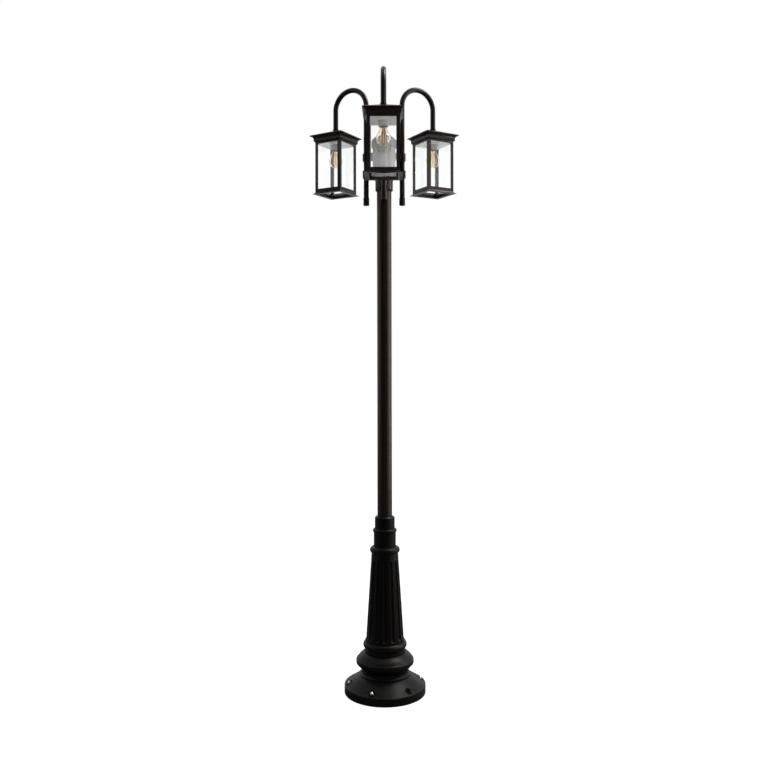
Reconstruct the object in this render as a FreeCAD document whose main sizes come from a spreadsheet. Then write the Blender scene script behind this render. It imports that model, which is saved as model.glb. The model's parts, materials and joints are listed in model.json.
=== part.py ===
import FreeCAD, Part
import math
import os
import re

import Sketcher

# Three-headed garden lamp post: a fluted cast base, a round pole, a hub casting
# with three hooked arms, and three square lanterns that hang from the arms.
# Millimetres. The origin is on the pole's axis at the ground, +Z is up and the
# front arm points along -Y.

SIZES = {
    # cast base, from the ground up
    "flange_diameter": 332,
    "rim_height": 33,
    "rim_round": 3,
    "foot_diameter": 208,
    "slope_height": 38,
    "step_height": 4,
    "waist_diameter": 190,
    "waist_height": 18,
    "undercut_height": 24,
    "bulge_diameter": 235.2,
    "bulge_round": 4,
    "bulge_side_height": 15,
    "bulge_edge_curve": 6.5,
    "bulge_edge_height": 6,
    "bulge_crown_curve": 70,
    "bulge_top_diameter": 172,
    "bulge_height": 47,
    "groove_diameter": 164,
    "groove_height": 16,
    "torus_curve": 17,
    "torus_height": 28,
    "fillet_diameter": 162.6,
    "fillet_height": 4,
    "column_foot_diameter": 154.6,
    "column_top_diameter": 108.4,
    "column_height": 356,
    "bead_curve": 14,
    "bead_height": 26,
    "neck_diameter": 90.5,
    "neck_height": 58,
    "band_curve": 8.8,
    "band_height": 16,
    "collar_diameter": 81.2,
    "collar_height": 49,
    "collar_bevel": 4.5,
    "flange_wall": 11,
    "column_wall": 14,
    "pole_seat_depth": 117,
    "pole_seat_shelf": 10,
    "cable_hole_diameter": 50,
    # flutes
    "flute_count": 14,
    "flute_foot_width": 22,
    "flute_top_width": 16,
    "flute_depth": 6,
    "flute_foot_margin": 16,
    "flute_top_margin": 34,
    # anchor pockets, bosses and holes
    "anchor_count": 6,
    "anchor_turn": -20.2,
    "anchor_circle": 295,
    "anchor_hole": 12,
    "anchor_boss": 26,
    "anchor_seat": 41,
    "pocket_curve": 60,
    "pocket_back": 139,
    "pocket_depth": 5,
    "pocket_edge_depth": 1.5,
    # pole
    "pole_diameter": 60,
    "pole_wall": 3,
    "pole_exposed": 1330,
    # hub
    "hub_neck_diameter": 72.2,
    "hub_neck_height": 45,
    "hub_neck_bevel": 5,
    "hub_shoulder_height": 7,
    "hub_diameter": 94,
    "hub_height": 180,
    "hub_wall": 6,
    "hub_socket_depth": 60,
    "hub_shelf": 75,
    "hub_cable_hole": 16,
    "cap_diameter": 104,
    "cap_rim_height": 25,
    "cap_dome_height": 30,
    "cap_wall": 3,
    "cap_spigot_depth": 10,
    # arm bosses on the hub
    "arm_offset": 86,
    "boss_diameter": 30,
    "boss_web": 16,
    "lower_boss_base": 65,
    "lower_boss_height": 30,
    "upper_boss_base": 135,
    "upper_boss_height": 31,
    # arms
    "arm_diameter": 21.3,
    "arm_wall": 2,
    "arm_rise": 453,
    "arm_tail": 46,
    "lantern_reach": 238,
    "lantern_drop": 172,
    "end_cap_diameter": 25,
    "end_cap_height": 31,
    "end_cap_floor": 3,
    "end_cap_bevel": 2,
    # wiring
    "lead_diameter": 5.5,
    "lead_bend": 12,
    "lead_hole": 9,
    "block_width": 27.7,
    "block_height": 31,
    # lantern, from its lower rim up
    "rim_side": 144,
    "rim_lip": 1.6,
    "rim_flare_height": 9,
    "rim_curve": 12,
    "rim_hole": 110,
    "ledge_thickness": 3,
    "rim_total_height": 22,
    "frame_side": 125,
    "frame_wall": 2.5,
    "post_width": 13,
    "window_height": 191,
    "top_rail_height": 4,
    "fascia_side": 135,
    "ogee_curve": 8,
    "fascia_base": 6,
    "fascia_height": 10,
    "cove_curve": 14,
    "cornice_height": 30,
    "eave_side": 158.6,
    "eave_lip": 1,
    "eave_thickness": 4,
    "roof_rise": 24,
    "roof_crown_side": 28,
    "roof_wall": 4,
    "roof_mouth_side": 100,
    "roof_pad_height": 8,
    "screw_place": 53,
    "screw_shank": 4,
    "screw_head": 7,
    "screw_head_height": 2.5,
    "pane_thickness": 2,
    "ceiling_thickness": 1.5,
    # lamp fitting
    "ferrule_diameter": 25.4,
    "ferrule_height": 8,
    "ferrule_spigot": 14,
    "nipple_diameter": 10,
    "nipple_bore": 7,
    "nut_width": 17,
    "nut_height": 5,
    "holder_diameter": 38,
    "holder_crown_diameter": 24,
    "holder_height": 45,
    "holder_drop": 23,
    "holder_bore_depth": 29,
    "holder_socket_depth": 6,
    "shell_wall": 0.6,
    "shell_lip": 2,
    "shell_hole": 14,
    "contact_diameter": 12,
    "contact_height": 1,
    "contact_tongue_diameter": 6,
    "contact_tongue_height": 2.7,
    # bulb
    "bulb_length": 100,
    "bulb_diameter": 58,
    "bulb_glass": 1,
    "bulb_neck_diameter": 30,
    "bulb_neck_height": 59,
    "bulb_visible_height": 74,
    "bulb_shoulder": 22,
    "bulb_cap_diameter": 26.4,
    "bulb_cap_wall": 0.6,
    "bulb_tip_height": 4,
    "bulb_tip_diameter": 9.6,
    "filament_count": 6,
    "filament_diameter": 2.2,
    "filament_circle": 13,
    "filament_spread": 26,
    "filament_base": 15,
    "filament_length": 45,
    "stem_diameter": 9,
    "stem_disc_height": 2,
    "stem_flare_height": 6,
    # set screws
    "base_screw_diameter": 8,
    "base_screw_drop": 37,
    "base_screw_turn": 49.8,
    "arm_screw_diameter": 6,
    "cap_screw_diameter": 4,
    "screw_socket_share": 0.55,
    # gap between pieces that slide together
    "clearance": 0.3,
}

# Places and widths that follow from the sizes.
DERIVED = {
    "z_foot": "rim_height + slope_height",
    "z_step": "z_foot + step_height",
    "z_waist": "z_step + waist_height",
    "z_bulge": "z_waist + undercut_height",
    "z_side": "z_bulge + bulge_side_height",
    "z_crown": "z_bulge + bulge_height",
    "z_groove": "z_crown + groove_height",
    "z_torus": "z_groove + torus_height",
    "z_column": "z_torus + fillet_height",
    "z_bead": "z_column + column_height",
    "z_neck": "z_bead + bead_height",
    "z_band": "z_neck + neck_height",
    "z_collar": "z_band + band_height",
    "base_height": "z_collar + collar_height",
    "z_base_screw": "base_height - base_screw_drop",
    "pole_seat": "base_height - pole_seat_depth",
    "pole_bore": "pole_diameter + 2 * clearance",
    "hub_base": "base_height + pole_exposed",
    "pole_length": "pole_seat_depth + pole_exposed + hub_socket_depth",
    "hub_cavity": "hub_diameter - 2 * hub_wall",
    "cap_dome_curve": "(cap_diameter * cap_diameter / 4 / cap_dome_height + cap_dome_height) / 2",
    "arm_bore": "arm_diameter - 2 * arm_wall",
    "arm_socket": "arm_diameter + 2 * clearance",
    "arm_curve": "(lantern_reach - arm_offset) / 2",
    "arm_curve_height": "arm_rise - arm_diameter / 2 - arm_curve",
    "roof_peak": "arm_rise - lantern_drop",
    "lead_height": "upper_boss_base + upper_boss_height / 2",
    "z_window": "rim_total_height",
    "z_cornice": "z_window + window_height",
    "z_sill": "rim_flare_height + ledge_thickness",
    "z_plate": "z_cornice - ceiling_thickness",
    "z_rail": "z_cornice + top_rail_height",
    "z_eave": "z_cornice + cornice_height",
    "z_roof": "z_eave + eave_thickness",
    "z_peak": "z_roof + roof_rise",
    "lantern_base": "hub_base + roof_peak - z_peak",
    "frame_inside": "frame_side - 2 * frame_wall",
    "nipple_hole": "nipple_diameter + 2 * clearance",
    "z_holder": "z_cornice - holder_drop",
    "z_seat": "z_holder + holder_bore_depth",
    "shell_inside": "bulb_cap_diameter + 2 * clearance",
    "z_contact": "z_seat - contact_height - contact_tongue_height",
    "bulb_tip_place": "z_contact - clearance - bulb_length",
    "bulb_neck_inside": "bulb_cap_diameter - 2 * bulb_cap_wall - 2 * clearance",
    "glass_top": "bulb_visible_height + shell_lip + 4",
}

ARMS = {"front": -90, "left": 150, "right": 30}

# The half circle over an arm: its top, and its centre's height.
ARM_BEND = ("(arm_offset + lantern_reach) / 2", "arm_curve_height + arm_curve", "arm_curve_height")

doc = FreeCAD.newDocument("lamp_post")
sheet = doc.addObject("Spreadsheet::Sheet", "Sizes")
for row, (word, amount) in enumerate(SIZES.items(), start=1):
    sheet.set("A%d" % row, word)
    sheet.set("B%d" % row, str(amount))
    sheet.setAlias("B%d" % row, word)
doc.recompute()


def bound(text):
    """Writes an expression's plain words as the sheet's cells."""
    def cell(match):
        word = match.group()
        if word in DERIVED:
            return "(" + bound(DERIVED[word]) + ")"
        return "Sizes." + word if word in SIZES else word
    return re.sub(r"[a-z_]+", cell, str(text))


def number(text):
    """The present value of an expression."""
    return float(sheet.evalExpression(bound(text)))


def bind(item, sizes):
    """Binds an object's properties to expressions."""
    for name, text in sizes.items():
        item.setExpression(name, bound(text))


def place(item, x="0", y="0", z="0", turn=0.0, axis=(0, 0, 1)):
    """Puts a piece at a bound place, turned about an axis."""
    item.Placement = FreeCAD.Placement(FreeCAD.Vector(), FreeCAD.Rotation(FreeCAD.Vector(*axis), turn))
    bind(item, {"Placement.Base.x": x, "Placement.Base.y": y, "Placement.Base.z": z})


def place_at_arm(item, arm, z):
    """Stands a lantern's piece on its own axis at the end of its arm."""
    angle = ARMS[arm]
    place(item, "lantern_reach * cos(%d)" % angle, "lantern_reach * sin(%d)" % angle, z, angle)


def new_body(label):
    """An empty body whose label names its file."""
    body = doc.addObject("PartDesign::Body", "Body")
    body.Label = label
    return body


def origin_feature(body, role):
    """One of a body's own base planes or axes."""
    return next(item for item in body.Origin.OriginFeatures if item.Role == role)


def sketch_on(body, plane, lift=None):
    """A sketch on one of the body's base planes, lifted along its normal."""
    sketch = body.newObject("Sketcher::SketchObject", "Sketch")
    sketch.AttachmentSupport = [(origin_feature(body, plane), "")]
    sketch.MapMode = "FlatFace"
    if lift is not None:
        bind(sketch, {"AttachmentOffset.Base.z": lift})
    return sketch


def hold(sketch, kind, geometry, point, text):
    """Holds a sketch point at a bound distance from the sketch's origin."""
    if text == "0":
        line = -2 if kind == "DistanceX" else -1
        sketch.addConstraint(Sketcher.Constraint("PointOnObject", geometry, point, line))
        return
    index = sketch.addConstraint(Sketcher.Constraint(kind, -1, 1, geometry, point, number(text)))
    sketch.setExpression("Constraints[%d]" % index, bound(text))


def arc_through(start, middle, end):
    """An arc by three points, with the order in which a sketch names its ends."""
    before = middle - start
    after = end - middle
    if before.x * after.y > before.y * after.x:
        return Part.Arc(start, middle, end), (1, 2)
    return Part.Arc(end, middle, start), (2, 1)


def bulged(start, end, radius, side):
    """An arc of a radius that bulges right (1) or left (-1) of the way from start to end."""
    chord = end - start
    across = FreeCAD.Vector(chord.y, -chord.x, 0).normalize() * side
    rise = radius - math.sqrt(radius * radius - chord.Length * chord.Length / 4)
    return arc_through(start, (start + end) / 2 + across * rise, end)


def chain(sketch, corners, shapes, closed):
    """Joins bound corners by the shapes made for each run, and holds every corner."""
    first = sketch.GeometryCount
    for shape, _ in shapes:
        sketch.addGeometry(shape, False)
    ends = [order for _, order in shapes]
    runs = len(shapes)
    for index in range(runs if closed else runs - 1):
        after = (index + 1) % runs
        sketch.addConstraint(Sketcher.Constraint(
            "Coincident", first + index, ends[index][1], first + after, ends[after][0]))
    for index, (x, y) in enumerate(corners):
        run = min(index, runs - 1)
        point = ends[run][0] if index < runs else ends[run][1]
        hold(sketch, "DistanceX", first + run, point, x)
        hold(sketch, "DistanceY", first + run, point, y)
    return first


def outline(sketch, corners, arcs=None):
    """A closed outline through bound corners; arcs maps a run to (radius, side of bulge)."""
    arcs = arcs or {}
    points = [FreeCAD.Vector(number(x), number(y), 0) for x, y in corners]
    shapes = []
    for index, start in enumerate(points):
        end = points[(index + 1) % len(points)]
        if index in arcs:
            radius, side = arcs[index]
            shapes.append(bulged(start, end, number(radius), side))
        else:
            shapes.append((Part.LineSegment(start, end), (1, 2)))
    first = chain(sketch, corners, shapes, closed=True)
    for index, (radius, _) in arcs.items():
        held = sketch.addConstraint(Sketcher.Constraint("Radius", first + index, number(radius)))
        sketch.setExpression("Constraints[%d]" % held, bound(radius))


def open_path(sketch, corners, bends):
    """A path through bound corners; bends maps a run to its arc's middle and its centre's height."""
    points = [FreeCAD.Vector(number(x), number(y), 0) for x, y in corners]
    shapes = []
    for index in range(len(points) - 1):
        start, end = points[index], points[index + 1]
        if index in bends:
            middle = FreeCAD.Vector(number(bends[index][0]), number(bends[index][1]), 0)
            shapes.append(arc_through(start, middle, end))
        else:
            shapes.append((Part.LineSegment(start, end), (1, 2)))
    chain(sketch, corners, shapes, closed=False)
    for index, (_, _, height) in bends.items():
        hold(sketch, "DistanceY", index, 3, height)


def circle(sketch, diameter, x="0", y="0"):
    """A circle of bound diameter at a bound centre."""
    centre = FreeCAD.Vector(number(x), number(y), 0)
    index = sketch.addGeometry(Part.Circle(centre, FreeCAD.Vector(0, 0, 1), number(diameter) / 2), False)
    size = sketch.addConstraint(Sketcher.Constraint("Diameter", index, number(diameter)))
    sketch.setExpression("Constraints[%d]" % size, bound(diameter))
    hold(sketch, "DistanceX", index, 3, x)
    hold(sketch, "DistanceY", index, 3, y)


def square(sketch, side):
    """A centred square of bound side."""
    half = "(%s) / 2" % side
    less = "-(%s) / 2" % side
    outline(sketch, [(less, less), (half, less), (half, half), (less, half)])


def revolve(body, corners, arcs=None, cut=False):
    """Turns a profile of (radius, height) corners about the body's Z axis."""
    sketch = sketch_on(body, "XZ_Plane")
    outline(sketch, corners, arcs)
    feature = body.newObject("PartDesign::Groove" if cut else "PartDesign::Revolution", "Turned")
    feature.Profile = sketch
    feature.ReferenceAxis = (origin_feature(body, "Z_Axis"), [""])
    feature.Angle = 360
    return feature


def pad(body, sketch, length):
    """Raises a sketch by a bound length."""
    feature = body.newObject("PartDesign::Pad", "Pad")
    feature.Profile = sketch
    bind(feature, {"Length": length})
    return feature


def pocket(body, sketch, length, upward=False):
    """Cuts a sketch's area by a bound length, below the sketch or above it."""
    feature = body.newObject("PartDesign::Pocket", "Pocket")
    feature.Profile = sketch
    feature.Reversed = upward
    bind(feature, {"Length": length})
    return feature


def loft(body, levels, cut=False):
    """A ruled loft through centred squares given as (side, height)."""
    sketches = []
    for side, height in levels:
        sketch = sketch_on(body, "XY_Plane", height)
        square(sketch, side)
        sketches.append(sketch)
    feature = body.newObject("PartDesign::SubtractiveLoft" if cut else "PartDesign::AdditiveLoft", "Loft")
    feature.Profile = sketches[0]
    feature.Sections = sketches[1:]
    feature.Ruled = True
    return feature


def around(body, features, count):
    """Repeats features round the body's Z axis."""
    pattern = body.newObject("PartDesign::PolarPattern", "Pattern")
    pattern.Originals = features
    pattern.Axis = (origin_feature(body, "Z_Axis"), [""])
    pattern.Angle = 360
    bind(pattern, {"Occurrences": count})
    body.Tip = pattern
    return pattern


def radial_sketch(body, start, turn=0.0):
    """A sketch square to a radius of the body, at a bound distance from its axis."""
    sketch = sketch_on(body, "YZ_Plane")
    sketch.AttachmentOffset = FreeCAD.Placement(
        FreeCAD.Vector(), FreeCAD.Rotation(FreeCAD.Vector(0, 1, 0), turn))
    bind(sketch, {"AttachmentOffset.Base.z": start})
    return sketch


def radial_hole(body, diameter, start, length, height, turn=0.0):
    """A round hole along a radius of the body, from start outwards."""
    sketch = radial_sketch(body, start, turn)
    circle(sketch, diameter, "0", height)
    return pocket(body, sketch, length, upward=True)


def make_base_casting():
    """The hollow cast base with its flutes, anchor pockets and collar."""
    body = new_body("base_casting")
    outer = [
        ("0", "0"),
        ("flange_diameter / 2", "0"),
        ("flange_diameter / 2", "rim_height - rim_round"),
        ("flange_diameter / 2 - rim_round", "rim_height"),
        ("foot_diameter / 2", "z_foot"),
        ("foot_diameter / 2", "z_step"),
        ("waist_diameter / 2", "z_step + (foot_diameter - waist_diameter) / 2"),
        ("waist_diameter / 2", "z_waist"),
        ("bulge_diameter / 2 - bulge_round", "z_bulge"),
        ("bulge_diameter / 2", "z_bulge + bulge_round"),
        ("bulge_diameter / 2", "z_side"),
        ("bulge_diameter / 2 - bulge_round", "z_side + bulge_edge_height"),
        ("bulge_top_diameter / 2", "z_crown"),
        ("groove_diameter / 2", "z_crown"),
        ("groove_diameter / 2", "z_groove"),
        ("fillet_diameter / 2", "z_torus"),
        ("fillet_diameter / 2", "z_column"),
        ("column_foot_diameter / 2", "z_column"),
        ("column_top_diameter / 2", "z_bead"),
        ("neck_diameter / 2", "z_neck"),
        ("neck_diameter / 2", "z_band"),
        ("collar_diameter / 2", "z_collar"),
        ("collar_diameter / 2", "base_height - collar_bevel"),
        ("collar_diameter / 2 - collar_bevel", "base_height"),
        ("0", "base_height"),
    ]
    arcs = {
        2: ("rim_round", 1),
        5: ("(foot_diameter - waist_diameter) / 2", -1),
        8: ("bulge_round", 1),
        10: ("bulge_edge_curve", 1),
        11: ("bulge_crown_curve", 1),
        14: ("torus_curve", 1),
        18: ("bead_curve", 1),
        20: ("band_curve", 1),
    }
    revolve(body, outer, arcs)
    cut_anchor_pockets(body)
    inner = [
        ("0", "0"),
        ("flange_diameter / 2 - flange_wall", "0"),
        ("flange_diameter / 2 - flange_wall", "rim_height - flange_wall"),
        ("foot_diameter / 2 - flange_wall", "z_foot - flange_wall"),
        ("waist_diameter / 2 - column_wall", "z_waist"),
        ("bulge_diameter / 2 - column_wall", "z_bulge + bulge_side_height / 2"),
        ("bulge_top_diameter / 2 - column_wall", "z_crown"),
        ("column_foot_diameter / 2 - column_wall", "z_column"),
        ("column_top_diameter / 2 - column_wall", "z_bead"),
        ("cable_hole_diameter / 2", "pole_seat - pole_seat_shelf"),
        ("cable_hole_diameter / 2", "pole_seat"),
        ("pole_bore / 2", "pole_seat"),
        ("pole_bore / 2", "base_height"),
        ("0", "base_height"),
    ]
    revolve(body, inner, cut=True)
    cut_flutes(body)
    bore_anchor_holes(body)
    screw = radial_hole(body, "base_screw_diameter + 2 * clearance", "0", "collar_diameter",
                        "z_base_screw", number("base_screw_turn"))
    around(body, [screw], 3)
    place(body, turn=ARMS["front"])
    return body


def cut_flutes(body):
    """Tapering flutes with round ends, set round the column."""
    foot = "z_column + flute_foot_margin"
    top = "z_bead - flute_top_margin"
    taper = "(column_foot_diameter - column_top_diameter) / 2 / column_height"
    ends = []
    for height, width in ((foot, "flute_foot_width"), (top, "flute_top_width")):
        surface = "(column_foot_diameter / 2 - (%s - z_column) * (%s))" % (height, taper)
        ends.append((height, width, "(%s + %s / 2 - flute_depth)" % (surface, width)))
    sketches = []
    for height, width, reach in ends:
        sketch = sketch_on(body, "XY_Plane", height)
        circle(sketch, width, reach)
        sketches.append(sketch)
    groove = body.newObject("PartDesign::SubtractiveLoft", "Flute")
    groove.Profile = sketches[0]
    groove.Sections = sketches[1:]
    groove.Ruled = True
    features = [groove] + [cut_ball(body, width, reach, height) for height, width, reach in ends]
    around(body, features, "flute_count")


def cut_ball(body, diameter, x, height):
    """A ball-shaped hollow with its centre in the body's XZ plane."""
    low = "%s - %s / 2" % (height, diameter)
    high = "%s + %s / 2" % (height, diameter)
    side = "%s + %s / 2" % (x, diameter)
    start, middle, end = [FreeCAD.Vector(number(a), number(b), 0)
                          for a, b in ((x, low), (side, height), (x, high))]
    sketch = sketch_on(body, "XZ_Plane")
    axis = Part.LineSegment(start, end)
    chain(sketch, [(x, low), (x, high)],
          [arc_through(start, middle, end), (Part.LineSegment(end, start), (1, 2))], closed=True)
    hold(sketch, "DistanceX", 0, 3, x)
    spindle = sketch.addGeometry(axis, True)
    sketch.addConstraint(Sketcher.Constraint("Coincident", spindle, 1, 0, 1))
    sketch.addConstraint(Sketcher.Constraint("Coincident", spindle, 2, 0, 2))
    ball = body.newObject("PartDesign::Groove", "Ball")
    ball.Profile = sketch
    ball.ReferenceAxis = (sketch, ["Axis0"])
    ball.Angle = 360
    return ball


def cut_anchor_pockets(body):
    """Arched pockets in the sloping flange, with a floor that follows the slope."""
    arch = sketch_on(body, "XY_Plane")
    circle(arch, "2 * pocket_curve", *at_anchor("pocket_back + pocket_curve"))
    cleared = pocket(body, arch, "z_foot", upward=True)
    around(body, [cleared], "anchor_count")
    revolve(body, [
        ("0", "0"),
        ("flange_diameter / 2", "0"),
        ("flange_diameter / 2", "rim_height - pocket_edge_depth"),
        ("foot_diameter / 2", "z_foot - pocket_depth"),
        ("0", "z_foot - pocket_depth"),
    ])


def at_anchor(distance):
    """A bound point on the first anchor's radius."""
    return "(%s) * cos(anchor_turn)" % distance, "(%s) * sin(anchor_turn)" % distance


def bore_anchor_holes(body):
    """Bosses under the flange, each spot-faced and bored for a ground anchor."""
    centre = at_anchor("anchor_circle / 2")
    boss = sketch_on(body, "XY_Plane")
    circle(boss, "anchor_boss", *centre)
    raised = pad(body, boss, "anchor_seat")
    face = sketch_on(body, "XY_Plane", "anchor_seat")
    circle(face, "anchor_boss", *centre)
    faced = pocket(body, face, "slope_height / 2", upward=True)
    hole = sketch_on(body, "XY_Plane")
    circle(hole, "anchor_hole", *centre)
    bored = pocket(body, hole, "anchor_seat", upward=True)
    around(body, [raised, faced, bored], "anchor_count")


def make_pole():
    """The round steel pole, seated in the base and in the hub."""
    body = new_body("pole_tube")
    ring = sketch_on(body, "XY_Plane")
    circle(ring, "pole_diameter")
    circle(ring, "pole_diameter - 2 * pole_wall")
    pad(body, ring, "pole_length")
    place(body, z="pole_seat")
    return body


def make_hub_casting():
    """The hub: a socket over the pole, and two levels of bosses that hold the arms."""
    body = new_body("hub_casting")
    revolve(body, [
        ("0", "0"),
        ("hub_neck_diameter / 2 - hub_neck_bevel", "0"),
        ("hub_neck_diameter / 2", "hub_neck_bevel"),
        ("hub_neck_diameter / 2", "hub_neck_height"),
        ("hub_diameter / 2", "hub_neck_height + hub_shoulder_height"),
        ("hub_diameter / 2", "hub_height"),
        ("0", "hub_height"),
    ])
    lugs = []
    for base, height in (("lower_boss_base", "lower_boss_height"),
                         ("upper_boss_base", "upper_boss_height")):
        web = sketch_on(body, "XY_Plane", base)
        outline(web, [
            ("hub_diameter / 4", "-boss_web / 2"),
            ("arm_offset", "-boss_web / 2"),
            ("arm_offset", "boss_web / 2"),
            ("hub_diameter / 4", "boss_web / 2"),
        ])
        lugs.append(pad(body, web, height))
        ring = sketch_on(body, "XY_Plane", base)
        circle(ring, "boss_diameter", "arm_offset")
        lugs.append(pad(body, ring, height))
    around(body, lugs, len(ARMS))
    revolve(body, [
        ("0", "0"),
        ("pole_bore / 2", "0"),
        ("pole_bore / 2", "hub_socket_depth"),
        ("hub_cable_hole / 2", "hub_socket_depth"),
        ("hub_cable_hole / 2", "hub_socket_depth + hub_shelf"),
        ("hub_cavity / 2", "hub_socket_depth + hub_shelf"),
        ("hub_cavity / 2", "hub_height"),
        ("0", "hub_height"),
    ], cut=True)
    socket = sketch_on(body, "XY_Plane")
    circle(socket, "arm_socket", "arm_offset")
    holes = [pocket(body, socket, "hub_height", upward=True)]
    holes.append(radial_hole(body, "lead_hole", "hub_cavity / 2 - 5",
                             "arm_offset - hub_cavity / 2 + 5", "lead_height"))
    screw_hole = "arm_screw_diameter + 2 * clearance"
    for level in boss_middles():
        holes.append(radial_hole(body, screw_hole, "arm_offset", "boss_diameter", level))
    holes.append(radial_hole(body, screw_hole, "0", "hub_neck_diameter", "hub_neck_height / 2"))
    holes.append(radial_hole(body, "cap_screw_diameter + 2 * clearance", "0", "hub_diameter",
                             "hub_height - cap_spigot_depth / 2"))
    around(body, holes, len(ARMS))
    place(body, z="hub_base", turn=ARMS["front"])
    return body


def boss_middles():
    """Heights of the middles of the two boss levels above the hub's lower edge."""
    return ["lower_boss_base + lower_boss_height / 2", "upper_boss_base + upper_boss_height / 2"]


def make_hub_cap():
    """The hub's domed lid, with a spigot in the hub's mouth."""
    body = new_body("hub_cap")
    rim_top = "hub_height + cap_rim_height"
    spigot = "hub_cavity / 2 - clearance"
    revolve(body, [
        ("0", rim_top + " - cap_wall"),
        (spigot + " - cap_wall", rim_top + " - cap_wall"),
        (spigot + " - cap_wall", "hub_height - cap_spigot_depth"),
        (spigot, "hub_height - cap_spigot_depth"),
        (spigot, "hub_height"),
        ("cap_diameter / 2 - 1", "hub_height"),
        ("cap_diameter / 2", "hub_height + 1"),
        ("cap_diameter / 2", rim_top),
        ("0", rim_top + " + cap_dome_height"),
    ], {7: ("cap_dome_curve", 1)})
    place(body, z="hub_base")
    return body


def make_arm(arm):
    """A hooked tube: up beside the hub, over in a half circle and down to its lantern."""
    body = new_body("arm_" + arm)
    ring = sketch_on(body, "XY_Plane", "-arm_tail")
    circle(ring, "arm_diameter", "arm_offset")
    circle(ring, "arm_bore", "arm_offset")
    path = sketch_on(body, "XZ_Plane")
    open_path(path, [
        ("arm_offset", "-arm_tail"),
        ("arm_offset", "arm_curve_height"),
        ("lantern_reach", "arm_curve_height"),
        ("lantern_reach", "roof_peak + ferrule_height"),
    ], {1: ARM_BEND})
    sweep(body, ring, path)
    radial_hole(body, "lead_hole", "arm_offset - arm_diameter", "arm_diameter", "lead_height")
    place(body, z="hub_base", turn=ARMS[arm])
    return body


def sweep(body, section, path):
    """Runs a section along a path."""
    pipe = body.newObject("PartDesign::AdditivePipe", "Run")
    pipe.Profile = section
    pipe.Spine = path
    return pipe


def make_lead(arm):
    """The insulated lead from the hub's terminal block through an arm to its lampholder."""
    body = new_body("lead_" + arm)
    section = sketch_on(body, "YZ_Plane", "block_width / 2")
    circle(section, "lead_diameter", "0", "lead_height")
    path = sketch_on(body, "XZ_Plane")
    open_path(path, [
        ("block_width / 2", "lead_height"),
        ("arm_offset - lead_bend", "lead_height"),
        ("arm_offset", "lead_height + lead_bend"),
        ("arm_offset", "arm_curve_height"),
        ("lantern_reach", "arm_curve_height"),
        ("lantern_reach", "roof_peak - z_peak + z_seat"),
    ], {
        1: ("arm_offset - lead_bend * (1 - sqrt(0.5))", "lead_height + lead_bend * (1 - sqrt(0.5))",
            "lead_height + lead_bend"),
        3: ARM_BEND,
    })
    sweep(body, section, path)
    place(body, z="hub_base", turn=ARMS[arm])
    return body


def make_terminal_block():
    """A six-sided block on the hub's shelf, where the three leads meet."""
    body = new_body("terminal_block")
    block = body.newObject("PartDesign::AdditivePrism", "Block")
    block.Polygon = 6
    bind(block, {"Circumradius": "block_width / 2 / cos(30)", "Height": "block_height"})
    place(body, z="hub_base + hub_socket_depth + hub_shelf")
    return body


def make_end_cap(arm):
    """The cap that closes an arm's lower end."""
    body = new_body("end_cap_" + arm)
    revolve(body, [
        ("0", "0"),
        ("end_cap_diameter / 2 - end_cap_bevel", "0"),
        ("end_cap_diameter / 2", "end_cap_bevel"),
        ("end_cap_diameter / 2", "end_cap_height"),
        ("arm_socket / 2", "end_cap_height"),
        ("arm_socket / 2", "end_cap_floor"),
        ("0", "end_cap_floor"),
    ])
    angle = ARMS[arm]
    place(body, "arm_offset * cos(%d)" % angle, "arm_offset * sin(%d)" % angle,
          "hub_base - arm_tail - end_cap_floor")
    return body


def make_set_screws(label, diameter, start, end, levels, turn):
    """Socketed set screws that point at the body's axis, three at each level."""
    body = new_body(label)
    features = []
    for level in levels:
        shank = radial_sketch(body, start)
        circle(shank, diameter, "0", level)
        features.append(pad(body, shank, "%s - (%s)" % (end, start)))
        socket = radial_sketch(body, end)
        reach = "(%s) / 2 * screw_socket_share" % diameter
        outline(socket, [("%s * cos(%d)" % (reach, corner), "%s + %s * sin(%d)" % (level, reach, corner))
                         for corner in range(30, 390, 60)])
        features.append(pocket(body, socket, "(%s) / 2" % diameter))
    around(body, features, 3)
    place(body, turn=turn)
    return body


def make_fixings():
    """Every set screw, in the base's collar, the hub, its cap and its bosses."""
    front = ARMS["front"]
    return [
        make_set_screws("base_set_screws", "base_screw_diameter", "pole_bore / 2",
                        "collar_diameter / 2 - clearance",
                        ["z_base_screw"], front + number("base_screw_turn")),
        make_set_screws("hub_set_screws", "arm_screw_diameter", "pole_bore / 2",
                        "hub_neck_diameter / 2 - clearance",
                        ["hub_base + hub_neck_height / 2"], front),
        make_set_screws("hub_cap_screws", "cap_screw_diameter", "hub_cavity / 2",
                        "hub_diameter / 2 - clearance",
                        ["hub_base + hub_height - cap_spigot_depth / 2"], front),
        make_set_screws("arm_set_screws", "arm_screw_diameter", "arm_offset + arm_socket / 2",
                        "arm_offset + boss_diameter / 2 - clearance",
                        ["hub_base + " + level for level in boss_middles()], front),
    ]


def moulding(body, profile, arcs, side):
    """A square moulding: one half profile of (half side, height), mitred at four corners."""
    corners = profile + [("-(%s)" % x, y) for x, y in reversed(profile)]
    last = 2 * len(profile) - 2
    both = dict(arcs)
    both.update({last - run: shape for run, shape in arcs.items()})
    sketch = sketch_on(body, "XZ_Plane")
    outline(sketch, corners, both)
    bar = pad(body, sketch, side)
    bar.Midplane = True
    waste = sketch_on(body, "YZ_Plane")
    outline(waste, corners, both)
    low = "%s - 10" % profile[0][1]
    high = "%s + 10" % profile[-1][1]
    outline(waste, [("-" + side, low), (side, low), (side, high), ("-" + side, high)])
    mitre = pocket(body, waste, "2 * " + side)
    mitre.Midplane = True


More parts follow.
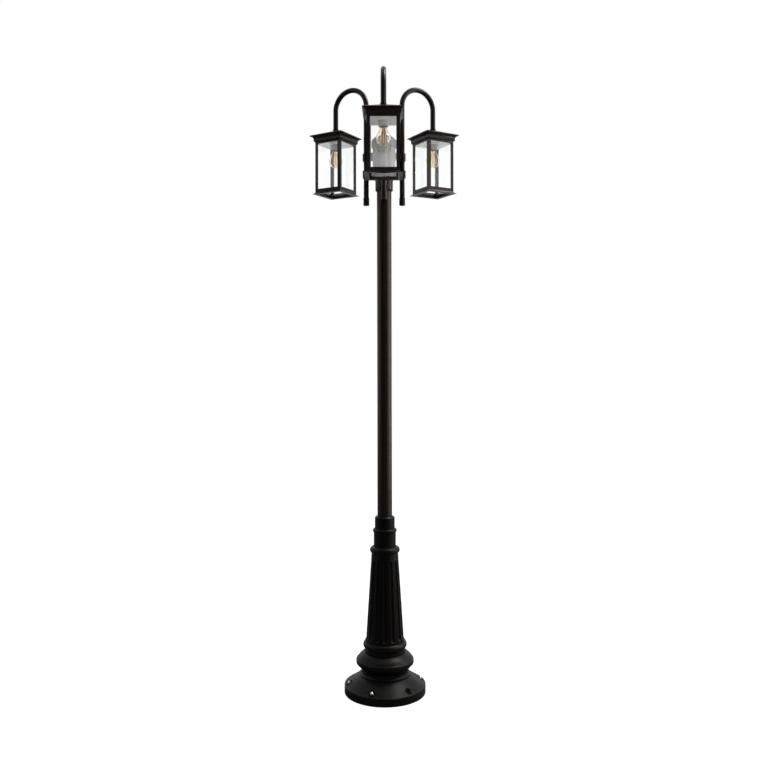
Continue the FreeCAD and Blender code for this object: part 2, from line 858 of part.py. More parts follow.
def make_roof(arm):
    """The lantern's roof: an ogee and a cove below a four-sided slope, hollow inside."""
    body = new_body("roof_" + arm)
    moulding(body, [
        ("frame_side / 2", "0"),
        ("fascia_side / 2", "fascia_base"),
        ("fascia_side / 2", "fascia_base + fascia_height"),
        ("eave_side / 2 - eave_lip", "z_eave - z_rail"),
        ("eave_side / 2", "z_eave - z_rail"),
        ("eave_side / 2", "z_roof - z_rail"),
        ("roof_crown_side / 2", "z_peak - z_rail"),
    ], {0: ("ogee_curve", -1), 2: ("cove_curve", -1)}, "eave_side")
    loft(body, [
        ("roof_mouth_side", "0"),
        ("roof_mouth_side", "roof_pad_height"),
        ("fascia_side - 2 * roof_wall - 2", "fascia_base + fascia_height"),
        ("fascia_side - roof_wall", "z_eave - z_rail"),
        ("roof_crown_side - roof_wall", "z_peak - z_rail - roof_wall"),
    ], cut=True)
    hole = sketch_on(body, "XY_Plane")
    circle(hole, "nipple_hole")
    pocket(body, hole, "z_peak - z_rail", upward=True)
    drill_corners(body, "roof_pad_height")
    place_at_arm(body, arm, "lantern_base + z_rail")
    return body


def drill_corners(body, depth):
    """Four screw holes near a lantern's corners, upward from the body's base plane."""
    sketch = sketch_on(body, "XY_Plane")
    for x in ("-screw_place", "screw_place"):
        for y in ("-screw_place", "screw_place"):
            circle(sketch, "screw_shank + 2 * clearance", x, y)
    return pocket(body, sketch, depth, upward=True)


def make_frame(arm):
    """The lantern's cage: a sill with a ledge, four angled posts and a flat top rail."""
    body = new_body("frame_" + arm)
    for height, length, inside in (
            ("0", "ledge_thickness", "rim_hole"),
            ("ledge_thickness", "z_window - z_sill", "frame_inside"),
            ("z_cornice - rim_flare_height", "top_rail_height", "roof_mouth_side")):
        ring = sketch_on(body, "XY_Plane", height)
        square(ring, "frame_side")
        square(ring, inside)
        rail = pad(body, ring, length)
        if height == "ledge_thickness":
            raise_posts(body)
    drill = sketch_on(body, "XY_Plane", "z_cornice - rim_flare_height")
    for x in ("-screw_place", "screw_place"):
        for y in ("-screw_place", "screw_place"):
            circle(drill, "screw_shank + 2 * clearance", x, y)
    pocket(body, drill, "top_rail_height", upward=True)
    place_at_arm(body, arm, "lantern_base + rim_flare_height")
    return body


def raise_posts(body):
    """Four angle-section posts at the corners of a lantern's cage."""
    angle = sketch_on(body, "XY_Plane")
    out = "frame_side / 2"
    inner = "frame_inside / 2"
    leg = "(frame_side / 2 - post_width)"
    outline(angle, [
        (leg, inner), (inner, inner), (inner, leg), (out, leg), (out, out), (leg, out),
    ])
    post = pad(body, angle, "z_cornice - rim_flare_height")
    around(body, [post], 4)


def make_skirt(arm):
    """The flared rim round the lantern's open bottom."""
    body = new_body("skirt_" + arm)
    moulding(body, [
        ("rim_side / 2", "0"),
        ("rim_side / 2", "rim_lip"),
        ("frame_side / 2", "rim_flare_height"),
    ], {1: ("rim_curve", -1)}, "rim_side")
    hole = sketch_on(body, "XY_Plane")
    square(hole, "rim_hole")
    pocket(body, hole, "rim_flare_height", upward=True)
    place_at_arm(body, arm, "lantern_base")
    return body


def make_panes(arm):
    """Four like panes, each with one end behind its neighbour's edge."""
    body = new_body("panes_" + arm)
    sheet_of_glass = sketch_on(body, "XY_Plane")
    outer = "(frame_inside / 2 - clearance)"
    inner = "(frame_inside / 2 - clearance - pane_thickness)"
    outline(sheet_of_glass, [
        (inner, "-" + outer), (outer, "-" + outer),
        (outer, inner + " - clearance"), (inner, inner + " - clearance"),
    ])
    pane = pad(body, sheet_of_glass, "z_plate - z_sill - clearance")
    around(body, [pane], 4)
    place_at_arm(body, arm, "lantern_base + z_sill")
    return body


def make_ceiling(arm):
    """The pale plate over the window, with a hole for the lampholder."""
    body = new_body("ceiling_" + arm)
    plate = sketch_on(body, "XY_Plane")
    square(plate, "frame_inside - 2 * clearance")
    circle(plate, "holder_diameter + 2")
    pad(body, plate, "ceiling_thickness")
    drill_corners(body, "ceiling_thickness")
    place_at_arm(body, arm, "lantern_base + z_plate")
    return body


def make_ferrule(arm):
    """The collar between an arm and a roof, with a spigot up inside the tube."""
    body = new_body("ferrule_" + arm)
    spigot = "arm_bore / 2 - clearance"
    revolve(body, [
        ("nipple_hole / 2", "0"),
        ("ferrule_diameter / 2", "0"),
        ("ferrule_diameter / 2", "ferrule_height"),
        (spigot, "ferrule_height"),
        (spigot, "ferrule_height + ferrule_spigot"),
        ("nipple_bore / 2", "ferrule_height + ferrule_spigot"),
        ("nipple_bore / 2", "ferrule_height"),
        ("nipple_hole / 2", "ferrule_height"),
    ])
    place_at_arm(body, arm, "lantern_base + z_peak")
    return body


def make_holder(arm):
    """The lampholder's insulating body, open downward."""
    body = new_body("holder_" + arm)
    bore = "shell_inside / 2 + shell_wall + clearance"
    revolve(body, [
        (bore, "0"),
        ("holder_diameter / 2", "0"),
        ("holder_diameter / 2", "holder_height - holder_socket_depth"),
        ("holder_crown_diameter / 2", "holder_height"),
        ("nipple_hole / 2", "holder_height"),
        ("nipple_hole / 2", "holder_height - holder_socket_depth"),
        ("nipple_bore / 2", "holder_height - holder_socket_depth"),
        ("nipple_bore / 2", "holder_bore_depth"),
        (bore, "holder_bore_depth"),
    ])
    place_at_arm(body, arm, "lantern_base + z_holder")
    return body


def make_shell(arm):
    """The metal shell that the lamp screws into."""
    body = new_body("shell_" + arm)
    inner = "shell_inside / 2"
    revolve(body, [
        (inner, "shell_lip"),
        (inner + " + shell_wall", "shell_lip"),
        (inner + " + shell_wall", "holder_bore_depth"),
        ("shell_hole / 2", "holder_bore_depth"),
        ("shell_hole / 2", "holder_bore_depth - shell_wall"),
        (inner, "holder_bore_depth - shell_wall"),
    ])
    place_at_arm(body, arm, "lantern_base + z_holder")
    return body


def make_bulb_glass(arm):
    """The lamp's clear envelope, one wall thick."""
    body = new_body("bulb_glass_" + arm)
    radius = "bulb_diameter / 2"
    inside = "(bulb_diameter / 2 - bulb_glass)"
    revolve(body, [
        ("0", "0"),
        (radius + " * cos(bulb_shoulder)", radius + " * (1 + sin(bulb_shoulder))"),
        ("bulb_neck_diameter / 2", "bulb_neck_height"),
        ("bulb_neck_inside / 2", "bulb_visible_height"),
        ("bulb_neck_inside / 2", "glass_top"),
        ("bulb_neck_inside / 2 - bulb_glass", "glass_top"),
        ("bulb_neck_inside / 2 - bulb_glass", "bulb_visible_height"),
        ("bulb_neck_diameter / 2 - bulb_glass", "bulb_neck_height"),
        (inside + " * cos(bulb_shoulder)", radius + " + " + inside + " * sin(bulb_shoulder)"),
        ("0", "bulb_glass"),
    ], {0: (radius, 1), 8: (inside, -1)})
    place_at_arm(body, arm, "lantern_base + bulb_tip_place")
    return body


def make_bulb_cap(arm):
    """The lamp's screw cap with its end contact."""
    body = new_body("bulb_cap_" + arm)
    inner = "bulb_cap_diameter / 2 - bulb_cap_wall"
    top = "bulb_length - bulb_tip_height"
    revolve(body, [
        (inner, "bulb_visible_height + clearance"),
        ("bulb_cap_diameter / 2", "bulb_visible_height + clearance"),
        ("bulb_cap_diameter / 2", top + " - 2"),
        ("bulb_tip_diameter / 2", top),
        ("bulb_tip_diameter / 2", "bulb_length"),
        ("0", "bulb_length"),
        ("0", top + " - 3"),
        (inner, top + " - 3"),
    ])
    place_at_arm(body, arm, "lantern_base + bulb_tip_place")
    return body


def make_bulb_core(arm):
    """The lamp's stem and the ring of filament rods that spread downwards from it."""
    body = new_body("bulb_core_" + arm)
    top = "filament_base + filament_length"
    flare = "bulb_neck_inside / 2 - bulb_glass - clearance"
    revolve(body, [
        ("0", top),
        ("filament_circle / 2 + filament_diameter", top),
        ("filament_circle / 2 + filament_diameter", top + " + stem_disc_height"),
        ("stem_diameter / 2", top + " + stem_disc_height"),
        ("stem_diameter / 2", "glass_top - stem_flare_height"),
        (flare, "glass_top - stem_flare_height / 2"),
        (flare, "glass_top"),
        ("0", "glass_top"),
    ])
    ends = []
    for height, spread in (("filament_base", "filament_spread"), (top, "filament_circle")):
        sketch = sketch_on(body, "XY_Plane", height)
        circle(sketch, "filament_diameter", spread + " / 2")
        ends.append(sketch)
    rod = body.newObject("PartDesign::AdditiveLoft", "Rod")
    rod.Profile = ends[0]
    rod.Sections = ends[1:]
    rod.Ruled = True
    around(body, [rod], "filament_count")
    place_at_arm(body, arm, "lantern_base + bulb_tip_place")
    return body


def three_around(label, z):
    """An empty body whose features stand at the front lantern's axis and repeat at the others."""
    body = new_body(label)
    place(body, z=z, turn=ARMS["front"])
    return body


def make_nipples():
    """Threaded tubes that hang each lampholder from its ferrule."""
    body = three_around("nipples", "lantern_base + z_holder + holder_height - holder_socket_depth")
    ring = sketch_on(body, "XY_Plane")
    circle(ring, "nipple_diameter", "lantern_reach")
    circle(ring, "nipple_bore", "lantern_reach")
    tube = pad(body, ring, "z_peak + ferrule_height - z_holder - holder_height + holder_socket_depth")
    around(body, [tube], 3)
    return body


def make_lock_nuts():
    """Six-sided nuts on the nipples, tight under each roof."""
    body = three_around("lock_nuts", "lantern_base + z_peak - roof_wall - nut_height")
    nut = sketch_on(body, "XY_Plane")
    reach = "nut_width / 2 / cos(30)"
    outline(nut, [("lantern_reach + %s * cos(%d)" % (reach, turn), "%s * sin(%d)" % (reach, turn))
                  for turn in range(30, 390, 60)])
    circle(nut, "nipple_hole", "lantern_reach")
    body_of_nut = pad(body, nut, "nut_height")
    around(body, [body_of_nut], 3)
    return body


def make_lantern_screws():
    """Four screws in each lantern, up through ceiling and rail into the roof."""
    body = three_around("lantern_screws", "lantern_base + z_plate")
    features = []
    for lift, width, length in (
            ("-screw_head_height", "screw_head", "screw_head_height"),
            ("0", "screw_shank", "z_rail - z_plate + roof_pad_height - 1")):
        sketch = sketch_on(body, "XY_Plane", lift)
        for x in ("lantern_reach - screw_place", "lantern_reach + screw_place"):
            for y in ("-screw_place", "screw_place"):
                circle(sketch, width, x, y)
        features.append(pad(body, sketch, length))
    around(body, features, 3)
    return body


def make_contacts():
    """Spring contacts in the lampholders, over the lamps' end contacts."""
    body = three_around("holder_contacts", "lantern_base + z_contact")
    features = []
    for lift, width, length in (
            ("0", "contact_tongue_diameter", "contact_tongue_height"),
            ("contact_tongue_height", "contact_diameter", "contact_height")):
        sketch = sketch_on(body, "XY_Plane", lift)
        circle(sketch, width, "lantern_reach")
        features.append(pad(body, sketch, length))
    around(body, features, 3)
    return body


def make_all():
    """Every piece of the lamp post."""
    pieces = [make_base_casting(), make_pole(), make_hub_casting(), make_hub_cap(), make_terminal_block()]
    pieces += make_fixings()
    pieces += [make_nipples(), make_lock_nuts(), make_lantern_screws(), make_contacts()]
    for arm in ARMS:
        for make in (make_arm, make_end_cap, make_lead, make_ferrule, make_roof, make_frame, make_skirt,
                     make_panes, make_ceiling, make_holder, make_shell,
                     make_bulb_glass, make_bulb_cap, make_bulb_core):
            pieces.append(make(arm))
    return pieces


def check(pieces):
    """Stops with the names of features and pieces that did not come out right."""
    bad = [item.Label for item in doc.Objects if {"Invalid", "Error"} & set(item.State)]
    bad += [item.Label for item in pieces if item.Shape.isNull() or not item.Shape.isValid()]
    if bad:
        raise ValueError("not built: " + ", ".join(bad))


pieces = make_all()
doc.recompute()
check(pieces)
os.makedirs("parts", exist_ok=True)
for piece in pieces:
    piece.Shape.exportStep(os.path.join("parts", piece.Label + ".step"))
    print(piece.Label, round(piece.Shape.Volume))
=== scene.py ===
"""A three-headed garden lamp post: finishes, fine pieces, studio and camera.

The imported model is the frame. Its nodes keep their places and get their finishes here.
"""

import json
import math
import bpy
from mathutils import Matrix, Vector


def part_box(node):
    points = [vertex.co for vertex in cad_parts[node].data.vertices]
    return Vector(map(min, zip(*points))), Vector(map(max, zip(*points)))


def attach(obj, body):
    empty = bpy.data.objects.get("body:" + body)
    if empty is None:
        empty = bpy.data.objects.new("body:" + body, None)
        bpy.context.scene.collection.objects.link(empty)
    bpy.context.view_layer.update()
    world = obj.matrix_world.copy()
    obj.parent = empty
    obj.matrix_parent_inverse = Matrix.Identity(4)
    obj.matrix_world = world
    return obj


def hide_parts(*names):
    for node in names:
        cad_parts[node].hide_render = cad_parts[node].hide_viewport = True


bl_info = {
    "name": "Lamp Post",
    "version": (1, 0, 0),
    "blender": (4, 5, 0),
    "location": "3D View > Sidebar > Lamp Post",
    "description": "Finishes, fine pieces and studio for a three-headed garden lamp post",
    "category": "Object",
}

import bmesh
import bpy
from mathutils import Matrix, Vector

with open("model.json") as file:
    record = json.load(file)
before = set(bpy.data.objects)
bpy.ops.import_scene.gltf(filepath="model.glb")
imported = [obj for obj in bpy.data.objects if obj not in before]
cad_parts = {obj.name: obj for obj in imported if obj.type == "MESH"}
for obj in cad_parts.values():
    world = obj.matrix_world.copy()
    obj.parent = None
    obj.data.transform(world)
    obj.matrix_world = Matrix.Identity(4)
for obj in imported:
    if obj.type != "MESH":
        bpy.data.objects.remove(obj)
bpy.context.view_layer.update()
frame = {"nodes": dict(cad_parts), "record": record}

# The body that everything but the lamps rides on.
POST = "post"

# The lanterns' axes: the direction of each from the pole in degrees, and how far out they stand.
ARMS = {"front": -90.0, "left": 150.0, "right": 30.0}
REACH = 0.238

# A lamp's glass, in metres from its lowest point up. A round bowl ends at the shoulder, an angle in
# degrees, and a curve with a reach at each end draws it in to the throat, at the cap's lip.
BULB_RADIUS = 0.029
BULB_SHOULDER = 22.0
BULB_THROAT = 0.0123
BULB_LIP = 0.074
BULB_TOP = 0.080
BULB_WALL = 0.0007
SHOULDER_REACH = 0.010
THROAT_REACH = (0.0012, 0.013)

# The rods in a lamp and the wires that hang them, with their ends as (radius, height). Both have
# domed ends, with a ring at a share of the radius from the tip and a share as wide.
ROD_FOOT = (0.013, 0.015)
ROD_HEAD = (0.0065, 0.060)
ROD_RADIUS = 0.0011
RODS = 6
WIRE_HEAD = (0.0015, ROD_HEAD[1] + 0.003)
WIRE_RADIUS = 0.0003
ROD_DOME = (0.4, 0.7)

# The clear stem over the rods: its foot, the radius of its rounded tip, and the flare with its rim
# that meets the neck.
STEM_FOOT = ROD_HEAD[1] + 0.0005
STEM_TIP = 0.0024
STEM_FLARE = 0.0105
STEM_RIM = 0.0008

# The ground anchors in the flange. A bolt's head is a hexagon that clears its seat by a gap, under
# a dome whose radius is a share of the width across the flats.
ANCHORS = 6
ANCHOR_CIRCLE = 0.1475
ANCHOR_TURN = -110.2
ANCHOR_SEAT = 0.041
ANCHOR_WITHOUT_BOLT = 1
HEAD_GAP = 0.0002
HEAD_HEIGHT = 0.0035
DOME_LIFT = 0.0005
DOME_SHARE = 0.46

# The base's column at its foot and top, as (radius, height), and its flutes, with the height and
# radius of the balls that round off their ends, and how near to a ball's skin a point is on it.
COLUMN_FOOT = (0.0773, 0.212)
COLUMN_TOP = (0.0542, 0.568)
FLUTES = 14
FLUTE_DEPTH = 0.006
FLUTE_BALLS = ((0.228, 0.011), (0.534, 0.008))
ON_BALL = 0.00005

# Edges: how much a flat piece's are eased, and the angles past which an edge is drawn sharp, is
# broken on a casting, and isn't part of one flat face. Points nearer than a micrometre are one.
EASE = 0.0004
SHARP = math.radians(35)
BROKEN = math.radians(25)
FLAT = math.radians(0.5)
MICROMETRE = 1e-6

# The sizes of soft patterns in the finishes, as swells per metre, and how far handling polishes
# and dulls bare metal.
PAINT_CLOUDS = 9.0
GLASS_WAVES = 14.0
SPRAY_MIST = 30.0
COAT_BEADS = 900.0
POLISHED = 0.1
DULLED = 0.12

# The studio in reflections. By a direction's Y the sky is dark in front and white at the sides and
# the back, and by its own Y the floor is dark until some way behind the post.
DARK_FRONT = 0.04
SKY_DARK_TO = -0.66
SKY_WHITE_FROM = -0.42
FLOOR_DARK_TO = 6.0
FLOOR_WHITE_FROM = 9.0

# A low light in the dark front, shaped by ramps: the axis of a direction, where the ramp is least,
# where it is whole, and its least share.
FRONT_GLOW = 3.2
FRONT_RAMPS = (
    ("X", -0.05, 0.02, 0.3),
    ("X", 0.07, 0.04, 0.0),
    ("X", -0.09, -0.06, 0.0),
    ("Y", -0.85, -0.93, 0.0),
    ("Z", 0.29, 0.23, 0.0),
    ("Z", 0.06, 0.12, 0.0),
)

# The studio's lamps, with their place, width, height and power in watts. All face one point on
# the pole's axis.
LAMPS = (
    ("RightStrip", (2.6, 0.2, 1.7), 0.5, 2.8, 40.0),
    ("FrontStrip", (2.3, -1.3, 1.7), 0.25, 2.8, 14.0),
    ("TopLamp", (3.4, 0.4, 6.4), 2.4, 2.4, 320.0),
)
LAMP_AIM = (0.0, 0.0, 1.4)

# The floor, and the width of the camera's sensor in millimetres.
FLOOR_RADIUS = 9.0
FLOOR_DROP = 0.0005
SENSOR = 36.0

# Where a Mix node keeps its two colours and their mixture, and a Compare node its whole numbers.
MIX_A = 6
MIX_B = 7
MIXED = 2
COMPARE_A = 2
COMPARE_B = 3


# Node trees


def linear(hex_colour):
    """A colour written as sRGB hex, as the linear RGBA that a shader takes."""
    channels = [int(hex_colour[start:start + 2], 16) / 255 for start in (1, 3, 5)]
    return tuple(c / 12.92 if c <= 0.04045 else ((c + 0.055) / 1.055) ** 2.4 for c in channels) + (1.0,)


def add_node(tree, kind, settings=None, links=None, **values):
    """Adds a node: settings are its attributes, links feed its inputs, values fill them."""
    node = tree.nodes.new(kind)
    for name, value in (settings or {}).items():
        setattr(node, name, value)
    for name, value in values.items():
        node.inputs[name.replace("_", " ")].default_value = value
    for key, source in (links or {}).items():
        tree.links.new(source, node.inputs[key])
    return node


def new_material(name):
    """An empty node material with its output, and the place that its patterns read."""
    material = bpy.data.materials.new(name)
    material.use_nodes = True
    tree = material.node_tree
    tree.nodes.clear()
    place = add_node(tree, "ShaderNodeTexCoord").outputs["Object"]
    output = add_node(tree, "ShaderNodeOutputMaterial")
    return material, tree, place, output


def painted_metal(name, light, dark, roughness, spread, grain, depth, specular):
    """Satin paint over cast or drawn metal.

    Thin and thick paint give two near tones in soft clouds, and sprayed paint has a fine
    orange peel that breaks up its highlights.
    """
    material, tree, place, output = new_material(name)
    clouds = add_node(tree, "ShaderNodeTexNoise", links={"Vector": place}, Scale=PAINT_CLOUDS, Detail=4.0)
    peel = add_node(tree, "ShaderNodeTexNoise", links={"Vector": place}, Scale=1.0 / grain, Detail=2.0)
    tone = add_node(tree, "ShaderNodeMix", {"data_type": "RGBA"}, {"Factor": clouds.outputs["Fac"]})
    tone.inputs[MIX_A].default_value = linear(dark)
    tone.inputs[MIX_B].default_value = linear(light)
    gloss = add_node(tree, "ShaderNodeMapRange", links={"Value": peel.outputs["Fac"]},
                     To_Min=roughness - spread, To_Max=roughness + spread)
    bump = add_node(tree, "ShaderNodeBump", links={"Height": peel.outputs["Fac"]}, Strength=0.35,
                    Distance=depth)
    paint = add_node(tree, "ShaderNodeBsdfPrincipled", links={
        "Base Color": tone.outputs[MIXED],
        "Roughness": gloss.outputs["Result"],
        "Normal": bump.outputs["Normal"],
    }, Specular_IOR_Level=specular)
    tree.links.new(paint.outputs["BSDF"], output.inputs["Surface"])
    return material


def clear_glass(name, tint, roughness, waviness):
    """Clear soda-lime glass, whose drawing or blowing leaves faint waves in what it mirrors."""
    material, tree, place, output = new_material(name)
    waves = add_node(tree, "ShaderNodeTexNoise", links={"Vector": place}, Scale=GLASS_WAVES, Detail=1.0)
    bump = add_node(tree, "ShaderNodeBump", links={"Height": waves.outputs["Fac"]}, Strength=0.2,
                    Distance=waviness)
    glass = add_node(tree, "ShaderNodeBsdfPrincipled", links={"Normal": bump.outputs["Normal"]},
                     Base_Color=linear(tint), Roughness=roughness, IOR=1.5, Transmission_Weight=1.0)
    tree.links.new(glass.outputs["BSDF"], output.inputs["Surface"])
    return material


def enamel(name, colour, roughness, spread):
    """Pale baked enamel on sheet steel, with a gloss that the spray gun leaves softly uneven."""
    material, tree, place, output = new_material(name)
    mist = add_node(tree, "ShaderNodeTexNoise", links={"Vector": place}, Scale=SPRAY_MIST, Detail=3.0)
    gloss = add_node(tree, "ShaderNodeMapRange", links={"Value": mist.outputs["Fac"]},
                     To_Min=roughness - spread, To_Max=roughness + spread)
    paint = add_node(tree, "ShaderNodeBsdfPrincipled", links={"Roughness": gloss.outputs["Result"]},
                     Base_Color=linear(colour))
    tree.links.new(paint.outputs["BSDF"], output.inputs["Surface"])
    return material


def bare_metal(name, colour, roughness, grain):
    """Plated or plain metal, whose gloss shows the fine marks of turning and handling."""
    material, tree, place, output = new_material(name)
    marks = add_node(tree, "ShaderNodeTexNoise", links={"Vector": place}, Scale=1.0 / grain, Detail=3.0)
    gloss = add_node(tree, "ShaderNodeMapRange", links={"Value": marks.outputs["Fac"]},
                     To_Min=roughness - POLISHED, To_Max=roughness + DULLED)
    metal = add_node(tree, "ShaderNodeBsdfPrincipled", links={"Roughness": gloss.outputs["Result"]},
                     Base_Color=linear(colour), Metallic=1.0)
    tree.links.new(metal.outputs["BSDF"], output.inputs["Surface"])
    return material


def moulded(name, colour, roughness, grain, depth):
    """Moulded plastic or rubber with a fine matte grain from its tool."""
    material, tree, place, output = new_material(name)
    pits = add_node(tree, "ShaderNodeTexVoronoi", links={"Vector": place}, Scale=1.0 / grain)
    bump = add_node(tree, "ShaderNodeBump", links={"Height": pits.outputs["Distance"]}, Strength=0.3,
                    Distance=depth)
    plastic = add_node(tree, "ShaderNodeBsdfPrincipled", links={"Normal": bump.outputs["Normal"]},
                       Base_Color=linear(colour), Roughness=roughness)
    tree.links.new(plastic.outputs["BSDF"], output.inputs["Surface"])
    return material


def phosphor(name, colour, glow):
    """Silicone-coated rods: a beaded amber skin with a faint light of its own."""
    material, tree, place, output = new_material(name)
    beads = add_node(tree, "ShaderNodeTexNoise", links={"Vector": place}, Scale=COAT_BEADS, Detail=1.0)
    bump = add_node(tree, "ShaderNodeBump", links={"Height": beads.outputs["Fac"]}, Strength=0.3,
                    Distance=0.0002)
    coat = add_node(tree, "ShaderNodeBsdfPrincipled", links={"Normal": bump.outputs["Normal"]},
                    Base_Color=linear(colour), Roughness=0.35, Emission_Color=linear(colour),
                    Emission_Strength=glow)
    tree.links.new(coat.outputs["BSDF"], output.inputs["Surface"])
    return material


def join(tree, operation, *sources):
    """Folds outputs or numbers together with one arithmetic operation."""
    result = sources[0]
    for source in sources[1:]:
        step = add_node(tree, "ShaderNodeMath", {"operation": operation})
        for socket, value in zip(step.inputs, (result, source)):
            if isinstance(value, (int, float)):
                socket.default_value = value
            else:
                tree.links.new(value, socket)
        result = step.outputs[0]
    return result


def seen_white(tree, place, dark_to, white_from):
    """How much of the white surround a ray sees: all of it, but in reflections a dark part."""
    rays = add_node(tree, "ShaderNodeLightPath").outputs
    depth = add_node(tree, "ShaderNodeSeparateXYZ", links={"Vector": place}).outputs["Y"]
    open_part = add_node(tree, "ShaderNodeMapRange", {"interpolation_type": "SMOOTHSTEP"},
                         {"Value": depth}, From_Min=dark_to, From_Max=white_from, To_Min=DARK_FRONT)
    mirrored = join(tree, "MULTIPLY", rays["Is Glossy Ray"], open_part.outputs["Result"])
    return join(tree, "MAXIMUM", rays["Is Camera Ray"], rays["Is Transmission Ray"], mirrored)


def white_surround(name, shade, glow):
    """The stage's surface: a pale paper that keeps a soft shadow and otherwise looks white."""
    material, tree, place, output = new_material(name)
    lift = join(tree, "MULTIPLY", seen_white(tree, place, FLOOR_DARK_TO, FLOOR_WHITE_FROM), glow)
    paper = add_node(tree, "ShaderNodeBsdfDiffuse", Color=linear(shade))
    white = add_node(tree, "ShaderNodeEmission", links={"Strength": lift})
    both = add_node(tree, "ShaderNodeAddShader", links={0: paper.outputs[0], 1: white.outputs[0]})
    tree.links.new(both.outputs[0], output.inputs["Surface"])
    return material


def finish_materials(finishes):
    """The material of each slot in the record."""
    return {
        "cast_black": painted_metal(
            "SandCastAluminiumPainted", finishes.cast_light, finishes.cast_dark,
            roughness=0.38, spread=0.06, grain=0.0022, depth=0.0003, specular=0.1),
        "bronze_dark": painted_metal(
            "OilRubbedBronzePowderCoat", finishes.bronze_light, finishes.bronze_dark,
            roughness=0.32, spread=0.05, grain=0.0016, depth=0.00006, specular=0.22),
        "screw_black": bare_metal("BlackOxideSteel", "#2a2827", roughness=0.45, grain=0.001),
        "zinc_steel": bare_metal("ZincPlatedSteel", "#e4e6e6", roughness=0.5, grain=0.001),
        "contact_brass": bare_metal("NickelledBrass", "#c8b27a", roughness=0.3, grain=0.001),
        "moulded_black": moulded(
            "PhenolicMoulding", "#1b1a19", roughness=0.45, grain=0.0008, depth=0.0001),
        "moulded_pale": moulded("PaleMoulding", "#9c978c", roughness=0.35, grain=0.0008, depth=0.00005),
        "lead_sheath": moulded("SiliconeSheath", "#26241f", roughness=0.55, grain=0.0006, depth=0.0001),
        "clear_pane": clear_glass("SodaLimePane", finishes.pane_tint, roughness=0.02, waviness=0.0004),
        "pale_enamel": enamel("PaleEnamel", finishes.ceiling, roughness=0.22, spread=0.08),
        "bulb_glass": clear_glass("BlownBulbGlass", "#f8efdc", roughness=0.0, waviness=0.0001),
        "nickel_cap": bare_metal("NickelPlatedCap", "#c9c7c0", roughness=0.25, grain=0.0008),
        "filament_gold": phosphor("PhosphorRods", finishes.filament, finishes.filament_glow),
    }


# Shapes


def new_object(name, data):
    """An object in the scene for a mesh, a light or a camera."""
    item = bpy.data.objects.new(name, data)
    bpy.context.collection.objects.link(item)
    return item


def new_mesh(name, shape):
    """A mesh made from a bmesh, smooth but for its sharp edges."""
    mesh = bpy.data.meshes.new(name)
    shape.to_mesh(mesh)
    shape.free()
    mesh.shade_smooth()
    mesh.set_sharp_from_angle(angle=SHARP)
    return mesh


def evaluated_mesh(item):
    """What an object's modifiers make of it, as a plain mesh."""
    graph = bpy.context.evaluated_depsgraph_get()
    graph.update()
    return bpy.data.meshes.new_from_object(item.evaluated_get(graph))


def give_finish(mesh, finish):
    """Gives a whole mesh one finish."""
    mesh.materials.clear()
    mesh.materials.append(bpy.data.materials[finish])


def as_piece(name, shape, finish, body):
    """Turns a bmesh into a finished piece that rides on a body."""
    mesh = new_mesh(name, shape)
    give_finish(mesh, finish)
    piece = new_object(name, mesh)
    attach(piece, body)
    return piece


def turn_profile(shape, profile, steps):
    """Adds a closed profile of (radius, height), turned about Z, to a bmesh."""
    rings = []
    for radius, height in profile:
        if radius < MICROMETRE:
            rings.append([shape.verts.new((0.0, 0.0, height))])
            continue
        rings.append([shape.verts.new((radius * math.cos(math.tau * step / steps),
                                       radius * math.sin(math.tau * step / steps), height))
                      for step in range(steps)])
    for index, low in enumerate(rings):
        high = rings[(index + 1) % len(rings)]
        for step in range(steps):
            after = (step + 1) % steps
            corners = [low[step % len(low)], low[after % len(low)],
                       high[after % len(high)], high[step % len(high)]]
            corners = list(dict.fromkeys(corners))
            if len(corners) > 2:
                shape.faces.new(corners)
    bmesh.ops.recalc_face_normals(shape, faces=shape.faces)


def bezier(start, leave, arrive, end, count):
    """Points of a cubic curve in a profile, without its first point."""
    points = []
    for step in range(1, count + 1):
        t = step / count
        u = 1.0 - t
        points.append(tuple(u ** 3 * start[axis] + 3 * u * u * t * leave[axis]
                            + 3 * u * t * t * arrive[axis] + t ** 3 * end[axis] for axis in (0, 1)))
    return points


def arc(centre, radius, start, end, count):
    """Points of an arc in a profile, by degrees."""
    return [(centre[0] + radius * math.cos(math.radians(start + (end - start) * step / count)),
             centre[1] + radius * math.sin(math.radians(start + (end - start) * step / count)))
            for step in range(count + 1)]


def ring_inputs(tree):
    """Names what the ring tree takes and gives, and hands on what it takes."""
    for label, kind in (("Geometry", "NodeSocketGeometry"), ("Piece", "NodeSocketObject"),
                        ("Finish", "NodeSocketMaterial"), ("Count", "NodeSocketInt"),
                        ("Radius", "NodeSocketFloat"), ("Turn", "NodeSocketFloat"),
                        ("Height", "NodeSocketFloat"), ("Left out", "NodeSocketInt")):
        tree.interface.new_socket(label, in_out="INPUT", socket_type=kind)
    tree.interface.new_socket("Geometry", in_out="OUTPUT", socket_type="NodeSocketGeometry")
    return add_node(tree, "NodeGroupInput").outputs


def ring_points(tree, given):
    """The circle's points, turned and lifted."""
    circle = add_node(tree, "GeometryNodeMeshCircle", links={
        "Vertices": given["Count"], "Radius": given["Radius"]})
    turn = add_node(tree, "ShaderNodeCombineXYZ", links={"Z": given["Turn"]})
    lift = add_node(tree, "ShaderNodeCombineXYZ", links={"Z": given["Height"]})
    placed = add_node(tree, "GeometryNodeTransform", links={
        "Geometry": circle.outputs["Mesh"], "Translation": lift.outputs[0], "Rotation": turn.outputs[0]})
    return placed.outputs[0]


